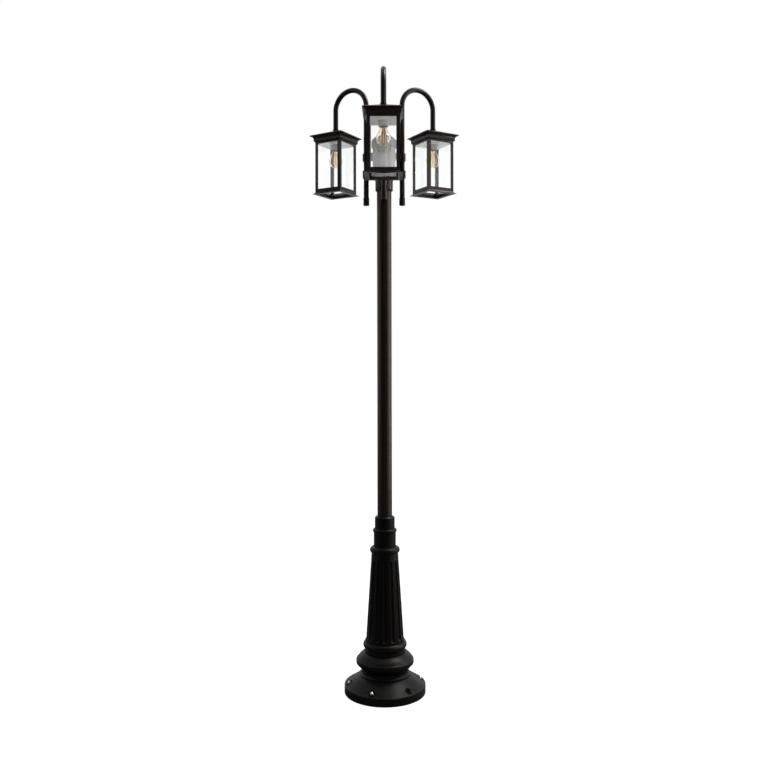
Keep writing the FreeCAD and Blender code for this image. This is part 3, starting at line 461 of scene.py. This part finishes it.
def ring_turns(tree, given, index):
    """The turn about Z that faces each copy away from the circle's middle."""
    step = join(tree, "DIVIDE", math.tau, given["Count"])
    angle = add_node(tree, "ShaderNodeMath", {"operation": "MULTIPLY_ADD"},
                     {0: index, 1: step, 2: given["Turn"]})
    return add_node(tree, "ShaderNodeCombineXYZ", links={"Z": angle.outputs[0]}).outputs[0]


def ring_tree(name):
    """A node tree that sets a piece round a circle: count, radius, turn, height and one left out."""
    tree = bpy.data.node_groups.new(name, "GeometryNodeTree")
    given = ring_inputs(tree)
    index = add_node(tree, "GeometryNodeInputIndex").outputs[0]
    kept = add_node(tree, "FunctionNodeCompare", {"data_type": "INT", "operation": "NOT_EQUAL"},
                    {COMPARE_A: index, COMPARE_B: given["Left out"]})
    piece = add_node(tree, "GeometryNodeObjectInfo", links={"Object": given["Piece"]})
    copies = add_node(tree, "GeometryNodeInstanceOnPoints", links={
        "Points": ring_points(tree, given), "Selection": kept.outputs[0],
        "Instance": piece.outputs["Geometry"], "Rotation": ring_turns(tree, given, index)})
    real = add_node(tree, "GeometryNodeRealizeInstances", links={"Geometry": copies.outputs[0]})
    finished = add_node(tree, "GeometryNodeSetMaterial", links={
        "Geometry": real.outputs[0], "Material": given["Finish"]})
    add_node(tree, "NodeGroupOutput", links={0: finished.outputs[0]})
    return tree


def set_round(name, shape, finish, place=(0.0, 0.0, 0.0), **sizes):
    """A bmesh repeated round a circle by the ring tree, as one plain mesh moved to its place."""
    one = new_object(name + "One", new_mesh(name + "One", shape))
    holder = new_object(name + "Holder", bpy.data.meshes.new(name + "Holder"))
    tree = bpy.data.node_groups.get("RingOfPieces") or ring_tree("RingOfPieces")
    ring = holder.modifiers.new("Ring", "NODES")
    ring.node_group = tree
    values = {"Piece": one, "Finish": bpy.data.materials[finish], "Left out": -1, "Height": 0.0,
              "Turn": 0.0}
    values.update({key.replace("_", " "): value for key, value in sizes.items()})
    for socket in tree.interface.items_tree:
        if socket.in_out == "INPUT" and socket.name in values:
            ring[socket.identifier] = values[socket.name]
    mesh = evaluated_mesh(holder)
    mesh.name = name
    holder.modifiers.remove(ring)
    bpy.data.objects.remove(holder)
    bpy.data.objects.remove(one)
    mesh.transform(Matrix.Translation(place))
    return new_object(name, mesh)


def add_turned(shape, profile, sides, place=Matrix.Identity(4)):
    """Adds a closed profile, turned about Z and then moved, to what a bmesh already holds."""
    part = bmesh.new()
    turn_profile(part, profile, sides)
    part.transform(place)
    mesh = bpy.data.meshes.new("Part")
    part.to_mesh(mesh)
    part.free()
    shape.from_mesh(mesh)
    bpy.data.meshes.remove(mesh)


def add_rod(shape, start, end, radius, sides):
    """Adds a round rod between two points, with domed ends."""
    way = end - start
    turn = way.to_track_quat("Z", "Y").to_matrix().to_4x4()
    rise, wide = ROD_DOME
    rings = ((0.0, 0.0), (radius * rise, wide), (radius, 1.0),
             (way.length - radius, 1.0), (way.length - radius * rise, wide), (way.length, 0.0))
    profile = [(share * radius, height) for height, share in rings]
    add_turned(shape, profile, sides, Matrix.Translation(start) @ turn)


def add_disc(shape, radius, low, high, sides):
    """Adds a flat round or many-sided piece between two heights, with its edges eased."""
    ease = min(EASE, (high - low) / 3)
    profile = [(0.0, low), (radius - ease, low), (radius, low + ease), (radius, high - ease),
               (radius - ease, high), (0.0, high)]
    add_turned(shape, profile, sides)


def add_dome(shape, radius, low, lift, sides):
    """Adds a half ball with its rim a little above a height."""
    curve = arc((0.0, low + lift), radius, 0.0, 90.0, count=8)[:-1]
    add_turned(shape, [(0.0, low)] + curve + [(0.0, low + lift + radius)], sides)


def envelope(radius, throat, floor):
    """Half the outline of a lamp's glass, from its lowest point up to its open end."""
    bowl = arc((0.0, radius + floor), radius, -90.0, BULB_SHOULDER, count=26)
    bowl[0] = (0.0, floor)
    across, up = math.cos(math.radians(BULB_SHOULDER)), math.sin(math.radians(BULB_SHOULDER))
    leave = (bowl[-1][0] - SHOULDER_REACH * up, bowl[-1][1] + SHOULDER_REACH * across)
    arrive = (throat + THROAT_REACH[0], BULB_LIP - THROAT_REACH[1])
    neck = bezier(bowl[-1], leave, arrive, (throat, BULB_LIP), count=14)
    return bowl + neck + [(throat, BULB_TOP)]


def lantern_axis(arm):
    """Where a lantern's own axis stands."""
    angle = math.radians(ARMS[arm])
    return REACH * math.cos(angle), REACH * math.sin(angle)


def flute_ball(height, radius, step):
    """The centre of the ball that rounds off one end of a flute."""
    taper = (COLUMN_FOOT[0] - COLUMN_TOP[0]) / (COLUMN_TOP[1] - COLUMN_FOOT[1])
    surface = COLUMN_FOOT[0] - (height - COLUMN_FOOT[1]) * taper
    reach = surface + radius - FLUTE_DEPTH
    angle = math.tau * step / FLUTES - math.pi / 2
    return Vector((reach * math.cos(angle), reach * math.sin(angle), height))


def flute_ends(shape, height, radius):
    """The faces at one end of each flute, and whether they bulge out instead of in."""
    ends = []
    for step in range(FLUTES):
        centre = flute_ball(height, radius, step)
        near = {v for v in shape.verts if abs((v.co - centre).length - radius) < ON_BALL}
        faces = [face for face in shape.faces if near.issuperset(face.verts)]
        ends.append((faces, max(v.co.xy.length for v in near) > centre.xy.length))
    return ends


def copy_round(shape, faces, steps):
    """Copies faces some flutes further round the column."""
    copies = bmesh.ops.duplicate(shape, geom=faces)["geom"]
    turn = Matrix.Rotation(math.tau * steps / FLUTES, 3, "Z")
    bmesh.ops.rotate(shape, cent=(0.0, 0.0, 0.0), matrix=turn,
                     verts=[item for item in copies if isinstance(item, bmesh.types.BMVert)])


def mend_flute_ends(shape):
    """Sets a good flute's end in place of each whose ball was meshed inside out."""
    for height, radius in FLUTE_BALLS:
        ends = flute_ends(shape, height, radius)
        good = next(step for step, (_, bulges) in enumerate(ends) if not bulges)
        for step, (faces, bulges) in enumerate(ends):
            if bulges:
                bmesh.ops.delete(shape, geom=faces, context="FACES")
                copy_round(shape, ends[good][0], step - good)
    bmesh.ops.delete(shape, geom=[v for v in shape.verts if not v.link_faces], context="VERTS")


def mended_base(finish, body):
    """The base casting with the balls at its flutes' ends the right way out.

    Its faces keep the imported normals, so they aren't merged.
    """
    mesh = frame["nodes"]["base_casting"].data.copy()
    mesh.name = "BaseCasting"
    shape = bmesh.new()
    shape.from_mesh(mesh)
    mend_flute_ends(shape)
    shape.to_mesh(mesh)
    shape.free()
    give_finish(mesh, finish)
    piece = new_object("BaseCasting", mesh)
    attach(piece, body)
    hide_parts("base_casting")
    return piece


def flattened_copy(node):
    """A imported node's mesh with its triangles merged into whole faces."""
    shape = bmesh.new()
    shape.from_mesh(frame["nodes"][node].data)
    bmesh.ops.remove_doubles(shape, verts=shape.verts, dist=MICROMETRE)
    bmesh.ops.dissolve_limit(shape, angle_limit=FLAT, verts=shape.verts, edges=shape.edges)
    mesh = bpy.data.meshes.new(node + "_soft")
    shape.to_mesh(mesh)
    shape.free()
    return mesh


def softened(node, finish, body, width):
    """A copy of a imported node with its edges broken, as paint and handling leave them."""
    source = new_object(node + "_soft", flattened_copy(node))
    edge = source.modifiers.new("Edge", "BEVEL")
    edge.width = width
    edge.segments = 2
    edge.limit_method = "ANGLE"
    edge.angle_limit = BROKEN
    edge.harden_normals = True
    mesh = evaluated_mesh(source)
    source.modifiers.remove(edge)
    bpy.data.objects.remove(source)
    give_finish(mesh, finish)
    piece = new_object(node + "_edges", mesh)
    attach(piece, body)
    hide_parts(node)
    return piece


# What a user would change


class LampPostFinishes(bpy.types.PropertyGroup):
    """Colours of the lamp post, written as sRGB hex."""

    cast_light: bpy.props.StringProperty(
        name="Cast base, light", description="Raised tone of the base's black paint", default="#0f0c0a")
    cast_dark: bpy.props.StringProperty(
        name="Cast base, dark", description="Deep tone of the base's black paint", default="#080605")
    bronze_light: bpy.props.StringProperty(
        name="Bronze, light", description="Raised tone of the bronze powder coat", default="#26170f")
    bronze_dark: bpy.props.StringProperty(
        name="Bronze, dark", description="Deep tone of the bronze powder coat", default="#100a07")
    pane_tint: bpy.props.StringProperty(
        name="Panes", description="Tint of the lantern glass", default="#feffff")
    ceiling: bpy.props.StringProperty(
        name="Ceilings", description="Enamel of the plates over the lamps", default="#e2e1de")
    filament: bpy.props.StringProperty(
        name="Filaments", description="Coating of the lamps' rods", default="#c99a2e")
    filament_glow: bpy.props.FloatProperty(
        name="Filament glow", description="Light of the rods' own", default=0.25, min=0.0, max=5.0)


class LampPostStudio(bpy.types.PropertyGroup):
    """Light, floor and camera."""

    lens: bpy.props.FloatProperty(
        name="Focal length", description="Lens on a 36 mm sensor", default=38.61,
        subtype="DISTANCE_CAMERA")
    distance: bpy.props.FloatProperty(
        name="Distance", description="Camera to the pole's axis", default=3.380, unit="LENGTH")
    eye: bpy.props.FloatProperty(
        name="Eye height", description="Camera above the ground", default=1.353, unit="LENGTH")
    turn: bpy.props.FloatProperty(
        name="Turn", description="Camera's turn round the post from the front arm",
        default=math.radians(0.56), subtype="ANGLE")
    roll: bpy.props.FloatProperty(
        name="Roll", description="Camera's turn about its own axis", default=math.radians(-0.113),
        subtype="ANGLE")
    shift_x: bpy.props.FloatProperty(
        name="Shift X", description="Sideways shift of the picture, in widths", default=-0.0006)
    shift_y: bpy.props.FloatProperty(
        name="Shift Y", description="Upward shift of the picture, in widths", default=-0.0300)
    sky: bpy.props.FloatProperty(
        name="Sky", description="Light from all round on matte surfaces", default=0.25, min=0.0)
    lamps: bpy.props.FloatProperty(
        name="Lamps", description="Share of the lamps' full power", default=1.0, min=0.0)


class LampPostPieces(bpy.types.PropertyGroup):
    """The lamps, the bolts and the castings' edges."""

    fineness: bpy.props.IntProperty(
        name="Fineness", description="Steps round a lamp", default=72, min=12, max=256)
    bolt_width: bpy.props.FloatProperty(
        name="Bolt width", description="Across the flats of an anchor's head", default=0.011,
        unit="LENGTH")
    edge: bpy.props.FloatProperty(
        name="Cast edge", description="Width of the broken edges of the castings", default=0.0008,
        unit="LENGTH")


# Operators


class LAMPPOST_OT_finishes(bpy.types.Operator):
    """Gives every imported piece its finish"""

    bl_idname = "lamp_post.finishes"
    bl_label = "Apply finishes"

    def execute(self, context):
        materials = finish_materials(context.scene.lamp_post_finishes)
        for entry in frame["record"]["subparts"]:
            node = frame["nodes"][entry["node"]]
            finish = materials[entry["material_slot"]]
            for place in node.material_slots:
                place.material = finish
        return {"FINISHED"}


class LAMPPOST_OT_lamps(bpy.types.Operator):
    """Blows the lamps' envelopes and hangs the stems and golden rods in them"""

    bl_idname = "lamp_post.lamps"
    bl_label = "Build lamps"

    def execute(self, context):
        steps = context.scene.lamp_post_pieces.fineness
        for arm in ARMS:
            lowest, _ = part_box("bulb_glass_" + arm)
            place = (*lantern_axis(arm), lowest[2])
            self.blow_envelope(arm, place, steps)
            self.draw_stem(arm, place, steps)
            self.set_rods(arm, place)
        return {"FINISHED"}

    def blow_envelope(self, arm, place, steps):
        """A round bulb that runs into its neck in one sweep, with a wall."""
        outside = envelope(BULB_RADIUS, BULB_THROAT, 0.0)
        inside = envelope(BULB_RADIUS - BULB_WALL, BULB_THROAT - BULB_WALL, BULB_WALL)
        shape = bmesh.new()
        turn_profile(shape, outside + inside[::-1], steps)
        bmesh.ops.translate(shape, verts=shape.verts, vec=place)
        piece = as_piece("BulbEnvelope_" + arm, shape, "BlownBulbGlass", "bulb_" + arm)
        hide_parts("bulb_glass_" + arm)

    def draw_stem(self, arm, place, steps):
        """A clear stem with a pinched seal, flared where it joins the neck."""
        profile = [(0.0, STEM_FOOT)]
        profile += arc((0.0, STEM_FOOT + STEM_TIP), STEM_TIP, -80.0, 0.0, count=6)
        profile += [(0.0021, STEM_FOOT + 0.007), (0.0026, STEM_FOOT + 0.011)]
        profile += bezier(profile[-1], (0.003, STEM_FOOT + 0.016), (0.0060, BULB_TOP - 0.003),
                          (STEM_FLARE, BULB_TOP - STEM_RIM), count=8)
        profile += [(STEM_FLARE, BULB_TOP), (0.0, BULB_TOP)]
        shape = bmesh.new()
        turn_profile(shape, profile, steps // 2)
        bmesh.ops.translate(shape, verts=shape.verts, vec=place)
        piece = as_piece("BulbStem_" + arm, shape, "BlownBulbGlass", "bulb_" + arm)
        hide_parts("bulb_core_" + arm)

    def set_rods(self, arm, place):
        """A cone of coated rods, hung by bright wires from the stem."""
        turn = math.radians(ARMS[arm])
        sizes = {"Count": RODS, "Radius": ROD_FOOT[0], "Turn": turn}
        head = Vector((ROD_HEAD[0] - ROD_FOOT[0], 0.0, ROD_HEAD[1]))
        foot = Vector((0.0, 0.0, ROD_FOOT[1]))
        hook = Vector((WIRE_HEAD[0] - ROD_FOOT[0], 0.0, WIRE_HEAD[1]))
        rod = bmesh.new()
        add_rod(rod, foot, head, ROD_RADIUS, sides=14)
        rods = set_round("BulbRods_" + arm, rod, "PhosphorRods", place, **sizes)
        wire = bmesh.new()
        add_rod(wire, head, hook, WIRE_RADIUS, sides=8)
        wires = set_round("BulbWires_" + arm, wire, "NickelPlatedCap", place, **sizes)
        for piece, finish in ((rods, "filament_gold"), (wires, "nickel_cap")):
            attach(piece, "bulb_" + arm)


class LAMPPOST_OT_bolts(bpy.types.Operator):
    """Sets the ground anchors' bolts in the flange's pockets"""

    bl_idname = "lamp_post.bolts"
    bl_label = "Set anchor bolts"

    def execute(self, context):
        width = context.scene.lamp_post_pieces.bolt_width
        shape = bmesh.new()
        add_disc(shape, width / math.sqrt(3.0), 0.0, HEAD_HEIGHT, sides=6)
        add_dome(shape, width * DOME_SHARE, HEAD_HEIGHT, DOME_LIFT, sides=32)
        bolts = set_round("AnchorBolts", shape, "ZincPlatedSteel", Count=ANCHORS, Radius=ANCHOR_CIRCLE,
                          Turn=math.radians(ANCHOR_TURN), Height=ANCHOR_SEAT + HEAD_GAP,
                          Left_out=ANCHOR_WITHOUT_BOLT)
        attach(bolts, POST)
        return {"FINISHED"}


class LAMPPOST_OT_castings(bpy.types.Operator):
    """Breaks the sharp edges of the lanterns' castings and mends the base's mesh"""

    bl_idname = "lamp_post.castings"
    bl_label = "Soften castings"

    def execute(self, context):
        width = context.scene.lamp_post_pieces.edge
        for arm in ARMS:
            for node in ("roof_", "frame_", "skirt_"):
                piece = softened(node + arm, "OilRubbedBronzePowderCoat", POST, width)
        mended_base("SandCastAluminiumPainted", POST)
        return {"FINISHED"}


class LAMPPOST_OT_studio(bpy.types.Operator):
    """Builds the floor, the light and the camera"""

    bl_idname = "lamp_post.studio"
    bl_label = "Build studio"

    def execute(self, context):
        studio = context.scene.lamp_post_studio
        self.lay_floor()
        self.light_world(context.scene, studio)
        self.hang_lamps(studio)
        self.set_camera(context.scene, studio)
        context.scene.view_settings.view_transform = "Standard"
        return {"FINISHED"}

    def lay_floor(self):
        """A round pale floor, a hair below the base's foot so that they share no plane."""
        mesh = bpy.data.meshes.new("Floor")
        shape = bmesh.new()
        bmesh.ops.create_circle(shape, cap_ends=True, segments=96, radius=FLOOR_RADIUS)
        bmesh.ops.translate(shape, verts=shape.verts, vec=(0.0, 0.0, -FLOOR_DROP))
        shape.to_mesh(mesh)
        shape.free()
        mesh.materials.append(white_surround("StudioPaper", "#787878", glow=0.97))
        floor = new_object("Floor", mesh)

    def light_world(self, scene, studio):
        """White to the eye and through glass, dark and white in reflections, plain on matte surfaces."""
        world = bpy.data.worlds.new("StudioSky")
        world.use_nodes = True
        tree = world.node_tree
        tree.nodes.clear()
        facing = add_node(tree, "ShaderNodeTexCoord").outputs["Generated"]
        matte = add_node(tree, "ShaderNodeLightPath").outputs["Is Diffuse Ray"]
        level = join(tree, "MAXIMUM", seen_white(tree, facing, SKY_DARK_TO, SKY_WHITE_FROM),
                     join(tree, "MULTIPLY", matte, studio.sky), self.front_glow(tree, facing))
        sky = add_node(tree, "ShaderNodeBackground", links={"Strength": level}, Color=linear("#ffffff"))
        add_node(tree, "ShaderNodeOutputWorld", links={"Surface": sky.outputs[0]})
        scene.world = world

    def front_glow(self, tree, facing):
        """A soft light low in front, brighter to the right, that the panes mirror."""
        axes = add_node(tree, "ShaderNodeSeparateXYZ", links={"Vector": facing}).outputs
        share = add_node(tree, "ShaderNodeLightPath").outputs["Is Glossy Ray"]
        for axis, least_at, whole_at, least in FRONT_RAMPS:
            ramp = add_node(tree, "ShaderNodeMapRange", {"interpolation_type": "SMOOTHSTEP"},
                            {"Value": axes[axis]}, From_Min=least_at, From_Max=whole_at, To_Min=least)
            share = join(tree, "MULTIPLY", share, ramp.outputs["Result"])
        return join(tree, "MULTIPLY", share, FRONT_GLOW)

    def hang_lamps(self, studio):
        """Two tall strips on the right and a soft square high above them."""
        for name, place, width, height, power in LAMPS:
            lamp = bpy.data.lights.new(name, "AREA")
            lamp.shape = "RECTANGLE"
            lamp.energy = studio.lamps * power
            lamp.size = width
            lamp.size_y = height
            stand = new_object(name, lamp)
            stand.location = place
            aim = Vector(LAMP_AIM) - Vector(place)
            stand.rotation_euler = aim.to_track_quat("-Z", "Y").to_euler()

    def set_camera(self, scene, studio):
        """A camera in front that looks level at the pole, rolled by a hair."""
        data = bpy.data.cameras.new("Camera")
        data.sensor_width = SENSOR
        data.lens = studio.lens
        data.shift_x = studio.shift_x
        data.shift_y = studio.shift_y
        camera = new_object("Camera", data)
        side = math.sin(studio.turn) * studio.distance
        away = math.cos(studio.turn) * studio.distance
        turn = Matrix.Rotation(studio.turn, 4, "Z")
        upright = Matrix.Rotation(math.pi / 2, 4, "X")
        roll = Matrix.Rotation(studio.roll, 4, "Z")
        camera.matrix_world = Matrix.Translation((side, -away, studio.eye)) @ turn @ upright @ roll
        scene.camera = camera


class LAMPPOST_PT_panel(bpy.types.Panel):
    """Lists the steps of the build, and the sizes and colours that can be changed"""

    bl_label = "Lamp Post"
    bl_idname = "LAMPPOST_PT_panel"
    bl_space_type = "VIEW_3D"
    bl_region_type = "UI"
    bl_category = "Lamp Post"

    def draw(self, context):
        for step in STEPS:
            self.layout.operator(step.bl_idname)
        for group in (context.scene.lamp_post_finishes, context.scene.lamp_post_pieces,
                      context.scene.lamp_post_studio):
            for name in group.__annotations__:
                self.layout.prop(group, name)


STEPS = (
    LAMPPOST_OT_finishes,
    LAMPPOST_OT_lamps,
    LAMPPOST_OT_bolts,
    LAMPPOST_OT_castings,
    LAMPPOST_OT_studio,
)

CLASSES = (LampPostFinishes, LampPostPieces, LampPostStudio, *STEPS, LAMPPOST_PT_panel)


def register():
    for item in CLASSES:
        bpy.utils.register_class(item)
    bpy.types.Scene.lamp_post_finishes = bpy.props.PointerProperty(type=LampPostFinishes)
    bpy.types.Scene.lamp_post_pieces = bpy.props.PointerProperty(type=LampPostPieces)
    bpy.types.Scene.lamp_post_studio = bpy.props.PointerProperty(type=LampPostStudio)


def unregister():
    del bpy.types.Scene.lamp_post_studio
    del bpy.types.Scene.lamp_post_pieces
    del bpy.types.Scene.lamp_post_finishes
    for item in reversed(CLASSES):
        bpy.utils.unregister_class(item)


def main():
    register()
    bpy.ops.lamp_post.finishes()
    bpy.ops.lamp_post.lamps()
    bpy.ops.lamp_post.bolts()
    bpy.ops.lamp_post.castings()
    bpy.ops.lamp_post.studio()


if __name__ == "__main__":
    main()
